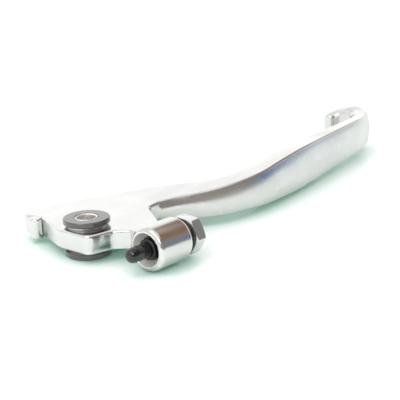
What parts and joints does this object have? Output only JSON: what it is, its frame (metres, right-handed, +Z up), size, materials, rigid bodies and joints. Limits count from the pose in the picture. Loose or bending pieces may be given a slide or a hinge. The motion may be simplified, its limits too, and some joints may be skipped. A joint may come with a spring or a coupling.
{
  "type": "brake lever",
  "caption": "Polished front brake lever of a motorbike with a curled end, flanged pivot bushes and a push rod with a screw adjuster.",
  "frame": {"origin": "centre of the pivot bore, halfway between the two bush flanges", "axes": "+Z up along the pivot axis, +X outward along the handlebar toward the curled end, +Y forward, away from the rider"},
  "size_m": [0.1811, 0.0612, 0.0152],
  "materials": {
    "polished_aluminium": "polished",
    "dark_bush": "matte",
    "bright_steel": "satin",
    "plated_steel": "polished",
    "black_rubber": "satin",
    "black_steel": "gloss"
  },
  "bodies": {
    "lever": {"lever_body": "polished_aluminium", "pivot_bush_upper": "dark_bush", "pivot_bush_lower": "dark_bush"},
    "sleeve": {"pivot_sleeve": "bright_steel"},
    "carrier": {"rod_retainer": "bright_steel"},
    "adjuster": {"adjuster_screw": "plated_steel", "adjuster_oring": "black_rubber"},
    "rod": {"push_rod": "black_steel", "rod_boot": "black_rubber"}
  },
  "joints": [
    {"name": "sleeve_turn", "type": "hinge", "parent": "lever", "child": "sleeve", "pos_m": [0, 0, 0], "axis": [0, 0, 1], "continuous": true},
    {"name": "adjuster_travel", "type": "slide", "parent": "lever", "child": "carrier", "axis": [1, 0, 0], "range_m": [0, 0.0026]},
    {"name": "adjuster_turn", "type": "hinge", "parent": "carrier", "child": "adjuster", "pos_m": [0.0084, -0.026, 0], "axis": [1, 0, 0], "range_deg": [0, 900]},
    {"name": "rod_swivel", "type": "hinge", "parent": "carrier", "child": "rod", "pos_m": [0.0084, -0.026, 0], "axis": [0, 0, 1], "range_deg": [-3, 3]}
  ],
  "couplings": [
    {"joint": "adjuster_travel", "follows": "adjuster_turn", "m_per_rad": 0.00015915}
  ]
}
